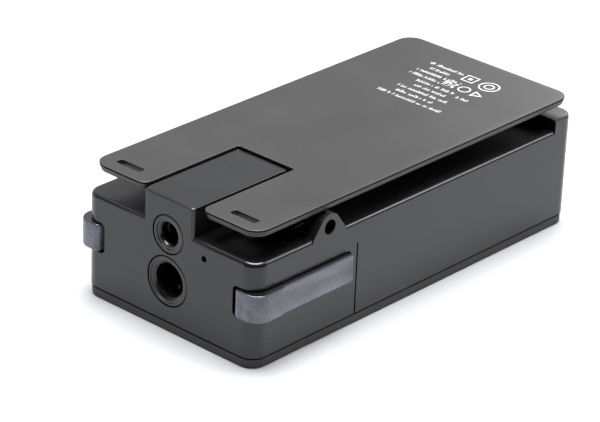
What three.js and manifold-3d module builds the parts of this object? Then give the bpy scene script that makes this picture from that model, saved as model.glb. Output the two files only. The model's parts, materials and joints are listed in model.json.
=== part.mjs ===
// A belt-worn wireless audio transmitter, lying on its front face with the belt clip uppermost.
// Millimetres. +Z is up, out of the clip. +Y runs from the jack end to the far end.
// Every piece is placed with y = 0 on the jack end's face; the group at the end moves the whole
// assembly so that the origin is the centre of its footprint.
import * as THREE from "three";
import { mergeVertices } from "three/addons/utils/BufferGeometryUtils.js";
import Module from "manifold-3d";

const wasm = await Module();
wasm.setup();

// ---------------------------------------------------------------- driving dimensions
const bodyWidth = 41.4;
const bodyLength = 87;
const cornerRadius = 3;
const wall = 1.8;
const deckThickness = 1.2;
const rimFillet = 0.8; // round along the deck's edge
const seamHeight = 1.9; // middle of the seam between rear shell and front frame
const seamGap = 0.35;
const frameInset = 0.12; // the front frame stands in from the rear shell's walls
const frameEdge = 0.45; // round along the front frame's lower edge
const tongueWall = 1.3;
const tongueRise = 1.45; // height of the frame's tongue inside the rear shell
const fit = 0.3; // general gap between neighbouring pieces
const closeFit = 0.15; // gap round a pin or a screw
const faceGap = 0.05; // gap between pieces that lie against each other

const blockWidth = 12; // raised block that carries the small jack
const blockLength = 23.35;
const blockRise = 5.5; // above the deck
const blockWall = 1.5;
const blockFillet = 0.5;

const ridgeRise = 2.2; // low wall at the far end that keeps the belt in
const ridgeLength = 5.9;

const beltGap = 4.2; // between the deck and the clip
const clipThickness = 1.4;
const clipSideInset = 0.8;
const clipStart = 0.9;
const clipEndInset = 0.6;
const clipCorner = 3.2;
const prongCorner = 1.9;
const notchGap = 0.75; // beside the block
const notchEndGap = 1.0; // behind the block
const strapSlotLength = 5.8;
const strapSlotWidth = 1.5;
const strapSlotInset = 3.5; // from the prong's end
const strapSlotOffset = 6.1; // from the clip's side

const pivotY = 18.5;
const pivotRise = 1.3; // above the deck
const pinRadius = 1.2;
const pinClearance = 0.2;
const pinRecess = 1.4; // how far the pin's end sits below the ear's face
const earThickness = 1.8;
const earRim = 1.2; // round the pin's hole
const earHalfBase = 4.2;
const lugRim = 0.9;
const lugThickness = 1.2;
const bracketThickness = 0.6;
const troughGap = 0.9; // round the lugs, in the deck's hollow
const troughClearance = 0.5; // under the lugs
const troughSkin = 1.6;
const clipSpringWire = 0.3; // radius
const clipSpringGap = 0.2; // between the coil and the pin

const guitarBore = 3.2; // radius, for a 6.35 mm plug
const guitarBoreDepth = 22.5;
const guitarRim = 1.5; // of the ring round the bore
const guitarJackWall = 1.65;
const micMouth = 2.05; // radius of the mouth in the collar
const micBore = 1.8; // radius, for a 3.5 mm plug
const micBoreDepth = 11;
const micRim = 1.55;
const guitarChamfer = 0.35; // at the collars' mouths
const micChamfer = 0.65;
const micJackWall = 1.2;
const jackEndWall = 1.2;
const contactX = -1.5; // the jack's sleeve contact
const contactY = 4.9;
const pinholeX = 8.7;
const pinholeRise = 1.7; // above the jack board
const pinholeRadius = 0.6;
const switchHalfHeight = 1.25;
const switchFront = 3.6;

const latchBottom = 9.5;
const latchHeight = 5.3;
const latchEnd = 24.0; // y of the latch's far end
const latchFrontLength = 4.2; // from the body's side to the latch's end on the jack face
const latchProudFront = 0.75;
const latchProudCorner = 1.45;
const latchProudSide = 1.15;
const latchStepY = 6.2; // where the corner pad drops to the finger panel
const latchThickness = 3.3; // from the body's side to the panel's inner face
const latchTravel = 0.75;
const latchFlange = 1.1; // how far the flange stands past the panel, above and below
const slotMargin = 0.3; // slot in the shell, above, below and behind the latch
const pocketRadius = 1.7; // the latch spring's pocket
const pocketDepth = 1.6;
const latchSpringLength = 3.6; // with the latch at rest
const latchSpringWire = 0.18; // radius
const latchSpringCoil = 1.15; // radius
const latchSpringY = 17.5;
const catchY = 11; // middle of the catch, in a lengthwise direction
const reliefSlitY = 26;
const reliefSlitDrop = 4.2; // from the deck to the slit's end
const reliefSlitWidth = 0.35;

const doorBottom = 0.25; // the door stands clear of the table
const doorThickness = 1.5;
const doorStart = 4.6;
const doorSideInset = 6.4; // from the body's side to the door's
const hingeInset = 3.4; // of the hinge's axis, from the far end
const hingePin = 0.5; // radius
const barrelWall = 0.7;
const hingePinReach = 2.3; // of the pin, past each side of the door
const catchPostHalf = 0.4; // half of the door's post
const catchLip = 0.8; // how far the post's lip reaches in
const catchLipThickness = 1.2;
const hookThickness = 1.0; // of the latch's hook under that lip

const cellRadius = 7.25;
const cellLength = 50.5;
const cellGap = 0.4; // between the cells
const cellNub = 1.0;
const trayGap = 0.8; // behind the large jack
const trayWall = 0.8;
const traySideWall = 0.65;
const trayRoof = 0.6;
const plateThickness = 0.35; // contact plates

const boardThickness = 0.8;
const boardGap = 0.1; // over the tray
const chipHeight = 0.55;
const headroom = 0.25; // over the chips
const chipPlaces = { radio_chip: [-6, 11, 3.5], audio_chip: [7, 8, 2.5] }; // x, y on the board, half width
const screwRadius = 0.75;
const screwHead = 1.4;
const bossRadius = 1.5;
const bossInset = 3.5; // of a screw, from the body's side

const displayHalf = 7.6;
const displayStart = 13.6;
const displayEnd = 23.2;
const displayThickness = 0.7;
const panelThickness = 0.9;
const controlBoardThickness = 0.7;
const buttonHalfWidth = 3.2;
const buttonHalfLength = 1.8;
const buttonPlaces = { set_button: [-5.2, 9.6], power_button: [5.2, 9.6] };

// ---------------------------------------------------------------- sizes that follow from those
const halfWidth = bodyWidth / 2;
const halfBlock = blockWidth / 2;
const shellBottom = seamHeight + seamGap / 2;
const frameTop = seamHeight - seamGap / 2;
const innerHalf = halfWidth - wall;
const innerEnd = bodyLength - wall;
const innerCorner = Math.max(cornerRadius - wall, 0.3);

// jacks, from the door up to the small jack
const doorTop = doorBottom + doorThickness;
const panelBottom = doorTop + 0.55;
const panelTop = panelBottom + panelThickness;
const controlBoardBottom = panelTop + displayThickness + 0.2;
const controlBoardTop = controlBoardBottom + controlBoardThickness;
const guitarCollar = guitarBore + guitarRim;
const guitarJackHalf = guitarBore + guitarJackWall; // half of the jack's square body
const guitarJackZ = controlBoardTop + closeFit + guitarJackHalf;
const micCollar = micMouth + micRim;
const micJackHalf = micBore + micJackWall;
const jackBoardTop = guitarJackZ + guitarJackHalf + closeFit + boardThickness;
const micJackZ = jackBoardTop + 0.2 + micJackHalf;
const pinholeZ = jackBoardTop + pinholeRise;
const plungerX = pinholeX - 0.3;
const jackBodyStart = wall + fit;

// cells and main board
const trayStart = jackBodyStart + guitarBoreDepth + jackEndWall + trayGap;
const hingeY = bodyLength - hingeInset;
const trayEnd = hingeY + 0.1;
const cellX = cellRadius + cellGap / 2;
const cellZ = doorTop + 0.35 + cellRadius;
const trayHalf = cellX + cellRadius + 0.15 + traySideWall;
const trayTop = cellZ + cellRadius + 0.1 + trayRoof;
const trayBottom = doorTop + 1.55;
const jackBoardEnd = trayStart - 2.1;
const frontContactFace = trayStart + trayWall + faceGap + plateThickness + closeFit;
const backContactFace = trayEnd - trayWall - faceGap - plateThickness - closeFit;
const boardTop = trayTop + boardGap + boardThickness;

// latches
const latchTop = latchBottom + latchHeight;
const latchZ = (latchBottom + latchTop) / 2;
const latchFrontX = halfWidth - latchFrontLength;
const latchInnerX = halfWidth - latchThickness;
const pocketEnd = latchInnerX + pocketDepth;
const springStopX = pocketEnd - latchSpringLength;

// pivot, whose lugs turn in a hollow over the latches
const pinHole = pinRadius + pinClearance;
const earRadius = pinHole + earRim;
const lugRadius = pinHole + lugRim;
const troughHalf = lugRadius + troughGap;
const clipSpringCoil = pinRadius + clipSpringWire + clipSpringGap;
const hollowDepth = lugRadius + troughClearance - pivotRise; // below the deck

// The deck stands over the tallest of what is inside.
const ceiling = Math.max(
  boardTop + chipHeight + headroom,
  pinholeZ + switchHalfHeight + closeFit,
  latchTop + latchFlange + fit + troughSkin + hollowDepth - deckThickness,
);
const deckHeight = ceiling + deckThickness; // the housing's back face, under the clip
const pivotZ = deckHeight + pivotRise;
const troughFloor = deckHeight - hollowDepth;
const blockHeight = deckHeight + blockRise;
const ridgeHeight = deckHeight + ridgeRise;
const clipUnder = deckHeight + beltGap;
const clipTop = clipUnder + clipThickness;
const clipHalf = halfWidth - clipSideInset;
const clipEnd = bodyLength - clipEndInset;

// door
const doorHalfWidth = halfWidth - doorSideInset;
const hingeBarrel = hingePin + barrelWall;
const hingeZ = doorBottom + hingeBarrel;
const hingePinHalf = doorHalfWidth + hingePinReach;
const catchPostX = doorHalfWidth - 0.5; // middle of the door's post
const catchLipEnd = catchPostX - catchPostHalf - catchLip;
const catchPostTop = latchBottom - latchFlange;

const screwX = halfWidth - bossInset;
const screwPlaces = [reliefSlitY + 3.6, hingeY - 4].flatMap((y) => [
  [-screwX, y],
  [screwX, y],
]);
const footprintLength = bodyLength + latchProudFront;

// ---------------------------------------------------------------- solids
function solid(geometry) {
  const bare = geometry.index ? geometry.toNonIndexed() : geometry.clone();
  bare.deleteAttribute("normal");
  bare.deleteAttribute("uv");
  const merged = mergeVertices(bare, 1e-4);
  const mesh = new wasm.Mesh({
    numProp: 3,
    vertProperties: merged.attributes.position.array,
    triVerts: new Uint32Array(merged.index.array),
  });
  return new wasm.Manifold(mesh);
}

function geometryOf(manifold) {
  const mesh = manifold.getMesh();
  const geometry = new THREE.BufferGeometry();
  geometry.setAttribute("position", new THREE.BufferAttribute(mesh.vertProperties, 3));
  geometry.setIndex(new THREE.BufferAttribute(mesh.triVerts, 1));
  geometry.computeVertexNormals();
  return geometry;
}

const join = (...solids) => solids.reduce((a, b) => a.add(b));
const cut = (base, ...tools) => tools.reduce((a, b) => a.subtract(b), base);

function box(x0, x1, y0, y1, z0, z1) {
  const geometry = new THREE.BoxGeometry(x1 - x0, y1 - y0, z1 - z0);
  return solid(geometry.translate((x0 + x1) / 2, (y0 + y1) / 2, (z0 + z1) / 2));
}

// A closed outline whose corners are rounded; each point is [x, y] or [x, y, radius].
function outline(points) {
  const shape = new THREE.Shape();
  const count = points.length;
  points.forEach(([x, y, radius = 0], i) => {
    if (!radius) {
      if (i === 0) shape.moveTo(x, y);
      else shape.lineTo(x, y);
      return;
    }
    const corner = new THREE.Vector2(x, y);
    const before = new THREE.Vector2(...points[(i + count - 1) % count]).sub(corner).normalize();
    const after = new THREE.Vector2(...points[(i + 1) % count]).sub(corner).normalize();
    const half = before.angleTo(after) / 2;
    const reach = radius / Math.tan(half);
    const centre = before.clone().add(after).setLength(radius / Math.sin(half)).add(corner);
    const from = before.multiplyScalar(reach).add(corner).sub(centre);
    const to = after.multiplyScalar(reach).add(corner).sub(centre);
    const clockwise = from.cross(to) < 0;
    if (i === 0) shape.moveTo(centre.x + from.x, centre.y + from.y);
    else shape.lineTo(centre.x + from.x, centre.y + from.y);
    shape.absarc(centre.x, centre.y, radius, from.angle(), to.angle(), clockwise);
  });
  shape.closePath();
  return shape;
}

const rectangle = (x0, x1, y0, y1, radius = 0) =>
  outline([
    [x0, y0, radius],
    [x1, y0, radius],
    [x1, y1, radius],
    [x0, y1, radius],
  ]);

// A slab of the outline from z0 to z1, its upper and lower edges rounded by edge.
function slab(shape, z0, z1, edge = 0, curveSegments = 6, bevelSegments = 3) {
  const geometry = new THREE.ExtrudeGeometry(shape, {
    depth: z1 - z0 - 2 * edge,
    bevelEnabled: edge > 0,
    bevelThickness: edge,
    bevelSize: edge,
    bevelOffset: -edge,
    bevelSegments,
    curveSegments,
  });
  return solid(geometry.translate(0, 0, z0 + edge));
}

const ALONG_X = new THREE.Matrix4().makeBasis(
  new THREE.Vector3(0, 1, 0),
  new THREE.Vector3(0, 0, 1),
  new THREE.Vector3(1, 0, 0),
);
const ALONG_Y = new THREE.Matrix4().makeBasis(
  new THREE.Vector3(1, 0, 0),
  new THREE.Vector3(0, 0, 1),
  new THREE.Vector3(0, -1, 0),
);

// The outline is drawn in y and z, and carried from x0 to x1.
function prismX(shape, x0, x1, edge = 0, curveSegments = 4) {
  const geometry = new THREE.ExtrudeGeometry(shape, {
    depth: x1 - x0 - 2 * edge,
    bevelEnabled: edge > 0,
    bevelThickness: edge,
    bevelSize: edge,
    bevelOffset: -edge,
    bevelSegments: 1,
    curveSegments,
  });
  return solid(geometry.applyMatrix4(ALONG_X).translate(x0 + edge, 0, 0));
}

// The outline is drawn in x and z, and carried from y0 to y1.
function prismY(shape, y0, y1) {
  const geometry = new THREE.ExtrudeGeometry(shape, {
    depth: y1 - y0,
    bevelEnabled: false,
    curveSegments: 4,
  });
  return solid(geometry.applyMatrix4(ALONG_Y).translate(0, y1, 0));
}

function rodX(radius, x0, x1, y, z, sides = 24) {
  const geometry = new THREE.CylinderGeometry(radius, radius, x1 - x0, sides);
  return solid(geometry.rotateZ(Math.PI / 2).translate((x0 + x1) / 2, y, z));
}

function rodY(radius, y0, y1, x, z, sides = 24) {
  const geometry = new THREE.CylinderGeometry(radius, radius, y1 - y0, sides);
  return solid(geometry.translate(x, (y0 + y1) / 2, z));
}

function rodZ(radius, z0, z1, x, y, sides = 24) {
  const geometry = new THREE.CylinderGeometry(radius, radius, z1 - z0, sides);
  return solid(geometry.rotateX(Math.PI / 2).translate(x, y, (z0 + z1) / 2));
}

// A body of revolution about an axis along +Y; the profile is [radius, y] points in order.
function turnedY(profile, x, z, sides = 40) {
  const points = profile.map(([radius, y]) => new THREE.Vector2(radius, y));
  const geometry = new THREE.LatheGeometry([...points, points[0]], sides);
  return solid(geometry.translate(x, 0, z));
}

// A round wire along a smooth curve through the points.
function wire(points, radius, steps, sides = 5) {
  const curve = new THREE.CatmullRomCurve3(points, false, "centripetal");
  const section = new THREE.Shape(
    Array.from({ length: sides }, (_, i) => {
      const turn = (2 * Math.PI * i) / sides;
      return new THREE.Vector2(radius * Math.cos(turn), radius * Math.sin(turn));
    }),
  );
  return solid(new THREE.ExtrudeGeometry(section, { extrudePath: curve, steps, bevelEnabled: false }));
}

const mirrored = (made, side) => (side < 0 ? made.mirror([1, 0, 0]) : made);

// ---------------------------------------------------------------- materials
const finish = (color, roughness, metalness = 0, more = {}) =>
  new THREE.MeshStandardMaterial({ color, roughness, metalness, ...more });

const housingPlastic = finish(0x2b2b2c, 0.5);
const clipPaint = finish(0x3c3b39, 0.45, 0.2);
const smokedPlastic = finish(0x4a4b57, 0.25, 0, { transparent: true, opacity: 0.85 });
const jackPlastic = finish(0x1c1c1d, 0.35);
const innerPlastic = finish(0x3a3a3c, 0.6);
const circuitBoard = finish(0x1f4d33, 0.5);
const bareSteel = finish(0x9a9a98, 0.3, 1);
const cellJacket = finish(0x30343a, 0.35, 0.3);
const tin = finish(0xb5b3ad, 0.3, 1);
const displayGlass = finish(0x20262a, 0.1);
const buttonRubber = finish(0x56585c, 0.7);

const group = new THREE.Group();
group.name = "bodypack";
group.position.y = latchProudFront - footprintLength / 2;

function piece(name, made, material) {
  const mesh = new THREE.Mesh(geometryOf(made), material);
  mesh.name = name;
  group.add(mesh);
}

// ---------------------------------------------------------------- housing
// The latch's slot: one cut through the side wall and one through the jack end, meeting at the corner.
function latchSlot() {
  const z0 = latchBottom - slotMargin;
  const z1 = latchTop + slotMargin;
  const round = 0.9;
  const through = halfWidth + 1;
  const sideOpening = rectangle(-5, latchEnd + slotMargin + 0.1, z0, z1, round);
  const frontOpening = rectangle(latchFrontX - latchTravel - closeFit, through, z0, z1, round);
  return prismX(sideOpening, innerHalf - 0.6, through).add(prismY(frontOpening, -1, wall + 0.6));
}

function ear() {
  const base = pivotZ - earRadius * 0.4;
  const profile = outline([
    [pivotY - earHalfBase, deckHeight - rimFillet - 1.5],
    [pivotY + earHalfBase, deckHeight - rimFillet - 1.5],
    [pivotY + earHalfBase, deckHeight - 0.1],
    [pivotY + earRadius * 0.92, base + earRadius * 0.8],
    [pivotY + earRadius * 0.62, pivotZ + earRadius * 0.79],
    [pivotY, pivotZ + earRadius],
    [pivotY - earRadius * 0.62, pivotZ + earRadius * 0.79],
    [pivotY - earRadius * 0.92, base + earRadius * 0.8],
    [pivotY - earHalfBase, deckHeight - 0.1],
  ]);
  return prismX(profile, halfWidth - earThickness, halfWidth);
}

// Hollow in the deck, from the block to the ear, that the clip's lugs turn in.
function trough(grow, z0) {
  return box(
    halfBlock - grow,
    halfWidth - earThickness,
    pivotY - troughHalf - grow,
    pivotY + troughHalf + grow,
    z0,
    deckHeight + 0.2 - grow,
  );
}

function rearShell() {
  const outer = rectangle(-halfWidth, halfWidth, 0, bodyLength, cornerRadius);
  const inner = rectangle(-innerHalf, innerHalf, wall, innerEnd, innerCorner);
  const bothSides = (make) => [make(), mirrored(make(), -1)];
  const blockInner = halfBlock - blockWall;

  let shell = slab(outer, -deckHeight, deckHeight, rimFillet);
  const ridge = slab(outer, deckHeight - 4, ridgeHeight, 0.6, 6, 2);
  const ridgeOnly = ridge.intersect(
    box(-halfWidth, halfWidth, bodyLength - ridgeLength, bodyLength + 1, deckHeight - 2, ridgeHeight + 1),
  );
  const blockShape = outline([
    [-halfBlock, 0, 0.7],
    [halfBlock, 0, 0.7],
    [halfBlock, blockLength],
    [-halfBlock, blockLength],
  ]);
  const block = slab(blockShape, deckHeight - 8, blockHeight, blockFillet, 3, 2);
  shell = join(shell, ridgeOnly, block, ...bothSides(ear));
  shell = cut(
    shell,
    box(-halfWidth - 1, halfWidth + 1, -1, bodyLength + 1, -deckHeight - 1, shellBottom),
    slab(inner, 0, ceiling, 0, 4),
    box(-blockInner, blockInner, wall, blockLength - blockWall, 0, blockHeight - blockWall),
  );

  const troughBed = () =>
    box(
      blockInner,
      innerHalf + 0.2,
      pivotY - troughHalf - wall,
      pivotY + troughHalf + wall,
      troughFloor - troughSkin,
      ceiling + 0.2,
    );
  const springRib = () =>
    box(
      springStopX - 0.7,
      springStopX,
      latchSpringY - 2,
      latchSpringY + 2,
      latchZ - 1.6,
      troughFloor - troughSkin + 0.2,
    );
  const bosses = screwPlaces.map(([x, y]) => rodZ(bossRadius, frameTop + 1.2, ceiling + 0.2, x, y, 16));
  const bossWebs = screwPlaces.map(([x, y]) => {
    const outwards = Math.sign(x);
    const x0 = Math.min(x, outwards * (innerHalf + 0.2));
    const x1 = Math.max(x, outwards * (innerHalf + 0.2));
    return box(x0, x1, y - 0.5, y + 0.5, 6, ceiling + 0.2);
  });
  shell = join(shell, ...bothSides(troughBed), ...bothSides(springRib), ...bosses, ...bossWebs);

  const slit = () =>
    box(
      innerHalf - 0.6,
      halfWidth + 1,
      reliefSlitY - reliefSlitWidth / 2,
      reliefSlitY + reliefSlitWidth / 2,
      0,
      deckHeight - reliefSlitDrop,
    );
  const pinBore = () => rodX(pinHole, blockInner - 0.5, halfWidth + 1, pivotY, pivotZ);
  return cut(
    shell,
    ...bothSides(() => trough(0, troughFloor)),
    ...bothSides(latchSlot),
    ...bothSides(slit),
    ...bothSides(pinBore),
    rodY(guitarCollar + closeFit, -1, wall + 1, 0, guitarJackZ, 40),
    rodY(micCollar + closeFit, -1, wall + 1, 0, micJackZ, 40),
    rodY(pinholeRadius, -1, wall + 1, pinholeX, pinholeZ, 16),
    ...screwPlaces.map(([x, y]) => rodZ(screwRadius + closeFit, 0, 9, x, y, 12)),
  );
}

// The lower frame closes the housing round the battery door, and stands on the table.
function frontFrame() {
  const frameHalf = halfWidth - frameInset;
  const outer = rectangle(-frameHalf, frameHalf, frameInset, bodyLength - frameInset, cornerRadius);
  const tongueOuter = innerHalf - fit;
  const tongueInner = tongueOuter - tongueWall;
  const top = frameTop + tongueRise;
  const tongueStart = wall + fit;
  const tongueEnd = innerEnd - fit;
  const face = cut(slab(outer, 0, 6, frameEdge), box(-30, 30, -1, bodyLength + 1, frameTop, 7));
  const tongue = cut(
    slab(rectangle(-tongueOuter, tongueOuter, tongueStart, tongueEnd, 0.9), frameTop - 0.5, top, 0, 3),
    slab(rectangle(-tongueInner, tongueInner, tongueStart + tongueWall, tongueEnd - tongueWall, 0.5), 0, 7, 0, 3),
  );
  const doorHalf = doorHalfWidth + fit;
  const doorway = rectangle(-doorHalf, doorHalf, doorStart - fit, hingeY + hingeBarrel + fit, 0.8);
  const hingeLug = () => box(doorHalf, tongueOuter - 0.2, hingeY - 1.7, tongueEnd, 0.3, top);
  return cut(
    join(face, tongue, hingeLug(), mirrored(hingeLug(), -1)),
    slab(doorway, -1, 8, 0, 3),
    rodX(hingePin + closeFit, -hingePinHalf - 0.3, hingePinHalf + 0.3, hingeY, hingeZ, 16),
    ...screwPlaces.map(([x, y]) => rodZ(screwRadius + closeFit, -1, 5, x, y, 12)),
    ...screwPlaces.map(([x, y]) => rodZ(screwHead + closeFit, -1, 1.0, x, y, 20)),
    ...screwPlaces.map(([x, y]) => rodZ(bossRadius + fit, frameTop + 0.9, 6, x, y, 16)),
  );
}

function frameScrew([x, y]) {
  const head = rodZ(screwHead, 0.25, 0.95, x, y, 20);
  const slotHalf = 0.22;
  const drive = join(
    box(x - 0.8, x + 0.8, y - slotHalf, y + slotHalf, 0, 0.6),
    box(x - slotHalf, x + slotHalf, y - 0.8, y + 0.8, 0, 0.6),
  );
  return cut(join(head, rodZ(screwRadius, 0.9, 7.5, x, y, 12)), drive);
}

// ---------------------------------------------------------------- battery door
function batteryDoor() {
  const plate = slab(
    outline([
      [-doorHalfWidth, doorStart, 1],
      [doorHalfWidth, doorStart, 1],
      [doorHalfWidth, hingeY],
      [-doorHalfWidth, hingeY],
    ]),
    doorBottom,
    doorTop,
    0,
    4,
  );
  const barrel = rodX(hingeBarrel, -doorHalfWidth, doorHalfWidth, hingeY, hingeZ, 20);
  const postOuter = catchPostX + catchPostHalf;
  const postInner = catchPostX - catchPostHalf;
  const lipBottom = catchPostTop - catchLipThickness;
  const catchPost = () =>
    join(
      box(postInner, postOuter, catchY - 1.5, catchY + 1.5, doorTop - 0.5, catchPostTop),
      box(catchLipEnd, postInner + 0.2, catchY - 1.5, catchY + 1.5, lipBottom, catchPostTop),
    );
  const ribs = [-cellX, 0, cellX].map((x) =>
    box(x - 0.4, x + 0.4, trayStart + 1.4, trayEnd - 5.6, doorTop - 0.2, doorTop + 0.2),
  );
  return cut(
    join(plate, barrel, catchPost(), mirrored(catchPost(), -1), ...ribs),
    rodX(hingePin + closeFit, -doorHalfWidth - 1, doorHalfWidth + 1, hingeY, hingeZ, 16),
  );
}

// ---------------------------------------------------------------- squeeze latches
// Plan outline of the right latch: a pad round the corner, then a flatter finger panel.
function latchOutline() {
  const padX = halfWidth + latchProudCorner;
  const panelX = halfWidth + latchProudSide;
  const shape = new THREE.Shape();
  const padRadius = cornerRadius;
  shape.moveTo(latchFrontX, 0.1);
  shape.quadraticCurveTo(latchFrontX + 0.1, -latchProudFront, latchFrontX + 1.1, -latchProudFront);
  shape.lineTo(padX - padRadius, -latchProudFront);
  shape.absarc(padX - padRadius, padRadius - latchProudFront, padRadius, -Math.PI / 2, 0, false);
  shape.lineTo(padX, latchStepY - 0.7);
  shape.quadraticCurveTo(padX, latchStepY - 0.1, panelX, latchStepY);
  shape.lineTo(panelX, latchEnd - 0.5);
  shape.quadraticCurveTo(panelX, latchEnd, panelX - 0.5, latchEnd);
  shape.lineTo(latchInnerX, latchEnd);
  shape.lineTo(latchInnerX, wall + 0.5);
  shape.lineTo(latchFrontX, wall + 0.5);
  shape.closePath();
  return shape;
}

// The finger piece, a flange that keeps it in its slot, and the catch that reaches in over the door's post.
function latch() {
  const flange = box(
    latchInnerX,
    innerHalf - fit,
    3.2,
    latchEnd - 1,
    latchBottom - latchFlange,
    latchTop + latchFlange,
  );
  const hookEnd = catchLipEnd - 0.2; // just clear of the lip on the door's post
  const hookX = hookEnd - 1.5;
  const hookTop = latchBottom + 1.3;
  const hookBottom = catchPostTop - catchLipThickness - fit - hookThickness - 0.3;
  const part = (x0, x1, z0, z1) => box(x0, x1, catchY - 1.4, catchY + 1.4, z0, z1);
  const hook = join(
    part(hookX, latchInnerX + 0.2, latchBottom + 0.2, hookTop),
    part(hookX, hookX + hookThickness, hookBottom, hookTop),
    part(hookX, hookEnd, hookBottom, hookBottom + hookThickness),
  );
  return cut(
    join(slab(latchOutline(), latchBottom, latchTop, 0.35, 6, 2), flange, hook),
    rodX(pocketRadius, latchInnerX - 1, pocketEnd, latchSpringY, latchZ, 20),
  );
}

// Drawn at the length it has with the latch pressed home.
function latchSpring() {
  const from = springStopX + latchSpringWire + faceGap;
  const to = pocketEnd - latchTravel - latchSpringWire - faceGap;
  const stepsPerTurn = 12;
  const steps = 3 * stepsPerTurn;
  const points = Array.from({ length: steps + 1 }, (_, i) => {
    const turn = (i / stepsPerTurn) * 2 * Math.PI;
    const x = from + ((to - from) * i) / steps;
    return new THREE.Vector3(
      x,
      latchSpringY + latchSpringCoil * Math.cos(turn),
      latchZ + latchSpringCoil * Math.sin(turn),
    );
  });
  return wire(points, latchSpringWire, steps);
}

// ---------------------------------------------------------------- belt clip
function clipPlate() {
  const half = clipHalf;
  const notch = halfBlock + notchGap;
  const notchEnd = blockLength + notchEndGap;
  const shape = outline([
    [-half, clipStart, clipCorner],
    [-notch, clipStart, prongCorner],
    [-notch, notchEnd, 0.4],
    [notch, notchEnd, 0.4],
    [notch, clipStart, prongCorner],
    [half, clipStart, clipCorner],
    [half, clipEnd, clipCorner],
    [-half, clipEnd, clipCorner],
  ]);
  const slotX = half - strapSlotOffset;
  const slotY = clipStart + strapSlotInset;
  const strapSlot = (x) => {
    const x0 = x - strapSlotLength / 2;
    const y0 = slotY - strapSlotWidth / 2;
    const hole = rectangle(x0, x0 + strapSlotLength, y0, y0 + strapSlotWidth, 0.3);
    return slab(hole, clipUnder - 1, clipTop + 1, 0, 2);
  };
  return cut(slab(shape, clipUnder, clipTop, 0.25, 6, 1), strapSlot(-slotX), strapSlot(slotX));
}

// A channel under the plate whose two cheeks turn on the pin.
function clipBracket() {
  const x0 = halfBlock + 1.6;
  const x1 = halfWidth - earThickness - 1.2;
  const under = clipUnder - faceGap;
  const cheek = (x) =>
    join(
      box(x, x + lugThickness, pivotY - lugRadius, pivotY + lugRadius, pivotZ, under - bracketThickness / 2),
      rodX(lugRadius, x, x + lugThickness, pivotY, pivotZ),
    );
  return cut(
    join(
      box(x0, x1, pivotY - 3, pivotY + 5, under - bracketThickness, under),
      cheek(x0),
      cheek(x1 - lugThickness),
    ),
    rodX(pinHole, x0 - 1, x1 + 1, pivotY, pivotZ),
  );
}

function clipPin() {
  return rodX(pinRadius, halfBlock - blockWall + 0.2, halfWidth - pinRecess, pivotY, pivotZ);
}

// A torsion coil round the pin. One leg lifts the prong, the other stays short and rests in the deck's
// hollow, so the far end of the plate is pressed down on the belt.
function clipSpring() {
  const turns = 4.5;
  const stepsPerTurn = 12;
  const pitch = 0.95;
  const startX = halfBlock + 3.8;
  const helix = Array.from({ length: turns * stepsPerTurn + 1 }, (_, i) => {
    const turn = Math.PI / 2 - (i / stepsPerTurn) * 2 * Math.PI;
    const x = startX + (pitch * i) / stepsPerTurn;
    return new THREE.Vector3(
      x,
      pivotY + clipSpringCoil * Math.cos(turn),
      pivotZ + clipSpringCoil * Math.sin(turn),
    );
  });
  const endX = helix[helix.length - 1].x;
  const underPlate = clipUnder - clipSpringWire - faceGap;
  const liftLeg = [
    new THREE.Vector3(startX, pivotY - 9.5, underPlate),
    new THREE.Vector3(startX, pivotY - 6, underPlate - 0.2),
    new THREE.Vector3(startX, pivotY - 2, pivotZ + clipSpringCoil + 0.05),
  ];
  const restLeg = [new THREE.Vector3(endX, pivotY - 2.6, pivotZ - clipSpringCoil)];
  return wire([...liftLeg, ...helix, ...restLeg], clipSpringWire, 84);
}

// ---------------------------------------------------------------- jacks
// A ring let into the jack end, with a chamfered mouth.
function collar(bore, chamfer, radius, z) {
  const front = faceGap;
  const back = jackBodyStart - faceGap;
  return turnedY(
    [
      [bore, back],
      [bore, front + chamfer],
      [bore + chamfer, front],
      [radius - 0.2, front],
      [radius, front + 0.2],
      [radius, back],
    ],
    0,
    z,
  );
}

function guitarJackBody() {
  const end = jackBodyStart + guitarBoreDepth;
  const half = guitarJackHalf + 1.25;
  const z0 = guitarJackZ - guitarJackHalf;
  return cut(
    box(-half, half, jackBodyStart, end + jackEndWall, z0, guitarJackZ + guitarJackHalf),
    rodY(guitarBore + 0.05, jackBodyStart - 1, end, 0, guitarJackZ, 32),
    box(contactX - 0.9, contactX + 0.9, contactY - 1.5, contactY + 1.5, z0 - 1, guitarJackZ),
  );
}

// A bent leaf that touches the plug's sleeve through a slot in the jack's floor.
function guitarJackContact() {
  const floor = guitarJackZ - guitarBore - 1.4;
  const tip = guitarJackZ - guitarBore + 0.7;
  const profile = outline([
    [contactY - 1.1, floor],
    [contactY + 1.1, floor],
    [contactY + 1.1, floor + 0.4],
    [contactY + 0.3, tip],
    [contactY - 0.6, tip],
    [contactY - 1.1, tip - 0.8],
  ]);
  return prismX(profile, contactX - 0.7, contactX + 0.7);
}

function micJackBody() {
  const end = jackBodyStart + micBoreDepth;
  const half = micJackHalf + 0.9;
  return cut(
    box(-half, half, jackBodyStart, end + jackEndWall, jackBoardTop + 0.2, micJackZ + micJackHalf),
    rodY(micBore, jackBodyStart - 1, end, 0, micJackZ, 24),
  );
}

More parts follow.
